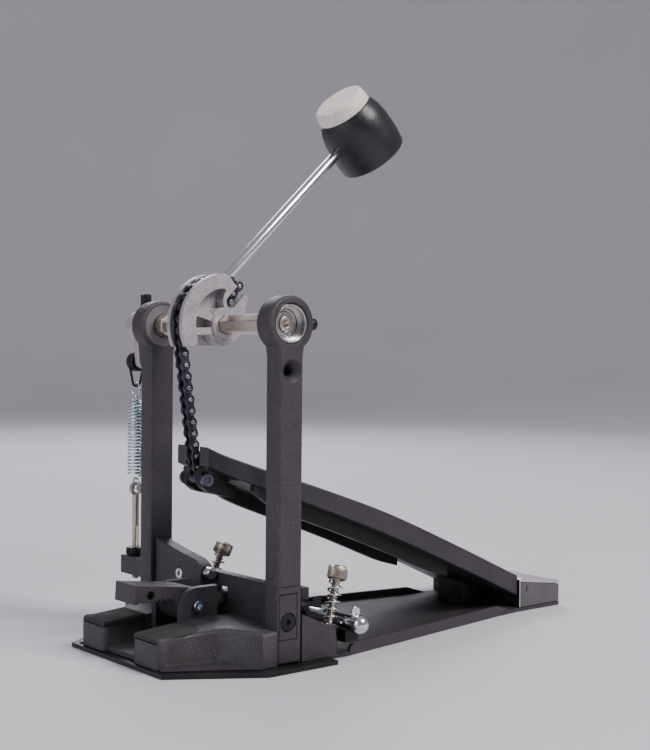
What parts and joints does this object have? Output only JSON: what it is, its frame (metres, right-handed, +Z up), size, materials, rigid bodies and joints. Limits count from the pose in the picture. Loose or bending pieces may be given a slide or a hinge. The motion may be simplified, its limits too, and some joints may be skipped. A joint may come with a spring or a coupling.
{
  "type": "bass drum pedal",
  "caption": "Chain driven bass drum pedal: footboard and heel plate, cam on a hexagonal axle, felt faced beater, side return spring, hoop clamp and spur screws.",
  "frame": {"origin": "on the floor, straight under the middle of the axle", "axes": "+X along the axle away from the return spring, +Y from the drum towards the heel, +Z up"},
  "size_m": [0.179, 0.331, 0.3477],
  "materials": {
    "powder_coat": "textured black powder coat",
    "black_steel": "black finished steel",
    "rubber": "matte black rubber",
    "satin_cast_aluminium": "satin silver casting",
    "chrome": "polished",
    "satin_nickel": "warm satin nickel",
    "bright_steel": "bright turned steel",
    "blue_zinc": "blue zinc plating",
    "beater_core": "satin black",
    "felt": "pressed off-white felt",
    "board_coat": "satin black coat",
    "silver_cap": "pale silver coat"
  },
  "bodies": {
    "base": {"sole_plate": "black_steel", "stabiliser_plate": "powder_coat", "frame_casting": "powder_coat", "near_post": "powder_coat", "far_post": "powder_coat", "near_bearing": "bright_steel", "far_bearing": "bright_steel", "near_bearing_stud": "black_steel", "far_bearing_stud": "black_steel", "post_panel": "powder_coat", "panel_screw": "black_steel", "brace_boss": "powder_coat", "brace_screw": "chrome", "brace_bushing": "chrome", "near_toe_pad": "rubber", "far_toe_pad": "rubber", "jaw_bolt": "blue_zinc", "screw_cradle": "black_steel", "near_spur_washer": "chrome", "far_spur_washer": "chrome", "near_spur_spring": "chrome", "far_spur_spring": "chrome", "spring_lug": "powder_coat", "heel_block": "powder_coat", "heel_cap": "silver_cap", "heel_support": "black_steel", "heel_pin": "bright_steel"},
    "axle": {"hex_axle": "satin_nickel", "axle_collar": "satin_nickel", "cam": "satin_cast_aluminium", "beater_holder": "satin_cast_aluminium", "beater_key_bolt": "satin_nickel", "spring_rocker": "satin_cast_aluminium", "rocker_key_bolt": "satin_nickel", "spring_roller": "black_steel", "chain_wrap": "black_steel"},
    "beater": {"beater_rod": "chrome", "beater_core": "beater_core", "beater_felt": "felt"},
    "footboard": {"footboard": "board_coat", "toe_bracket": "black_steel", "toe_bolt": "bright_steel", "chain_end_link": "black_steel"},
    "link_4": {"chain_link_4": "black_steel"},
    "link_3": {"chain_link_3": "black_steel"},
    "link_2": {"chain_link_2": "black_steel"},
    "link_1": {"chain_link_1": "black_steel"},
    "chain_run": {"chain_run": "black_steel"},
    "stirrup": {"spring_stirrup": "black_steel"},
    "spring_lower": {"spring_bottom_hook": "blue_zinc", "return_spring": "blue_zinc"},
    "spring_upper": {"spring_top_hook": "blue_zinc"},
    "tension_rod": {"tension_rod": "satin_nickel"},
    "tension_nut": {"tension_nut": "black_steel"},
    "clamp_screw": {"clamp_screw": "chrome"},
    "clamp_wedge": {"clamp_wedge": "black_steel"},
    "clamp_jaw": {"clamp_jaw": "powder_coat"},
    "near_spur": {"near_spur": "satin_nickel"},
    "far_spur": {"far_spur": "satin_nickel"}
  },
  "joints": [
    {"name": "axle_swing", "type": "hinge", "parent": "base", "child": "axle", "pos_m": [0, 0, 0.19], "axis": [1, 0, 0], "range_deg": [0, 50], "stiffness_Nm_per_rad": 0.3, "springref_deg": -28.65},
    {"name": "footboard_hinge", "type": "hinge", "parent": "base", "child": "footboard", "pos_m": [0, 0.213, 0.0185], "axis": [1, 0, 0], "range_deg": [0, 6.1]},
    {"name": "link_4_hinge", "type": "hinge", "parent": "axle", "child": "link_4", "pos_m": [0, -0.01777, 0.21033], "axis": [1, 0, 0], "range_deg": [-9.8, 0]},
    {"name": "link_3_hinge", "type": "hinge", "parent": "link_4", "child": "link_3", "pos_m": [0, -0.02223, 0.20533], "axis": [1, 0, 0], "range_deg": [-8.5, 0]},
    {"name": "link_2_hinge", "type": "hinge", "parent": "link_3", "child": "link_2", "pos_m": [0, -0.02531, 0.19939], "axis": [1, 0, 0], "range_deg": [-14.9, 0]},
    {"name": "link_1_hinge", "type": "hinge", "parent": "link_2", "child": "link_1", "pos_m": [0, -0.02685, 0.19287], "axis": [1, 0, 0], "range_deg": [-14.9, 0]},
    {"name": "chain_run_hinge", "type": "hinge", "parent": "link_1", "child": "chain_run", "pos_m": [0, -0.02673, 0.18618], "axis": [1, 0, 0], "range_deg": [-7.8, 0]},
    {"name": "beater_height", "type": "slide", "parent": "axle", "child": "beater", "axis": [0, 0.723, 0.6909], "range_m": [-0.012, 0.008]},
    {"name": "stirrup_swing", "type": "hinge", "parent": "axle", "child": "stirrup", "pos_m": [-0.09, 0, 0.1673], "axis": [1, 0, 0], "range_deg": [-61.2, 0]},
    {"name": "spring_swing", "type": "hinge", "parent": "tension_rod", "child": "spring_lower", "pos_m": [-0.09, 0, 0.0853], "axis": [1, 0, 0], "range_deg": [-11.1, 0]},
    {"name": "spring_stretch", "type": "slide", "parent": "spring_lower", "child": "spring_upper", "axis": [0, 0, 1], "range_m": [0, 0.0099], "deforming": ["return_spring"]},
    {"name": "tension_nut_turn", "type": "hinge", "parent": "base", "child": "tension_nut", "pos_m": [-0.09, 0, 0.045], "axis": [0, 0, 1], "range_deg": [0, 540]},
    {"name": "tension_rod_slide", "type": "slide", "parent": "base", "child": "tension_rod", "axis": [0, 0, 1], "range_m": [0, 0.0016]},
    {"name": "clamp_screw_turn", "type": "hinge", "parent": "base", "child": "clamp_screw", "pos_m": [0.06, 0.0465, 0.0195], "axis": [1, 0, 0], "range_deg": [0, 1080]},
    {"name": "clamp_wedge_slide", "type": "slide", "parent": "base", "child": "clamp_wedge", "axis": [-1, 0, 0], "range_m": [0, 0.0121]},
    {"name": "clamp_jaw_hinge", "type": "hinge", "parent": "base", "child": "clamp_jaw", "pos_m": [0, -0.024, 0.029], "axis": [1, 0, 0], "range_deg": [0, 4.45]},
    {"name": "near_spur_screw", "type": "slide", "parent": "base", "child": "near_spur", "axis": [0.1548, -0.3374, -0.9286], "range_m": [0, 0.006], "deforming": ["near_spur_spring"]},
    {"name": "far_spur_screw", "type": "slide", "parent": "base", "child": "far_spur", "axis": [-0.1548, -0.3374, -0.9286], "range_m": [0, 0.006], "deforming": ["far_spur_spring"]}
  ],
  "couplings": [
    {"joint": "footboard_hinge", "follows": "axle_swing", "ratio": 0.12055},
    {"joint": "link_4_hinge", "follows": "axle_swing", "ratio": -0.19385},
    {"joint": "link_3_hinge", "follows": "axle_swing", "ratio": -0.16747},
    {"joint": "link_2_hinge", "follows": "axle_swing", "ratio": -0.29498},
    {"joint": "link_1_hinge", "follows": "axle_swing", "ratio": -0.29507},
    {"joint": "chain_run_hinge", "follows": "axle_swing", "ratio": -0.15265},
    {"joint": "stirrup_swing", "follows": "axle_swing", "ratio": -1.2185},
    {"joint": "spring_swing", "follows": "axle_swing", "ratio": -0.21846},
    {"joint": "spring_stretch", "follows": "axle_swing", "m_per_rad": 0.011197},
    {"joint": "tension_rod_slide", "follows": "tension_nut_turn", "m_per_rad": 0.000159},
    {"joint": "clamp_wedge_slide", "follows": "clamp_screw_turn", "m_per_rad": 0.000637},
    {"joint": "clamp_jaw_hinge", "follows": "clamp_screw_turn", "ratio": 0.004074}
  ]
}
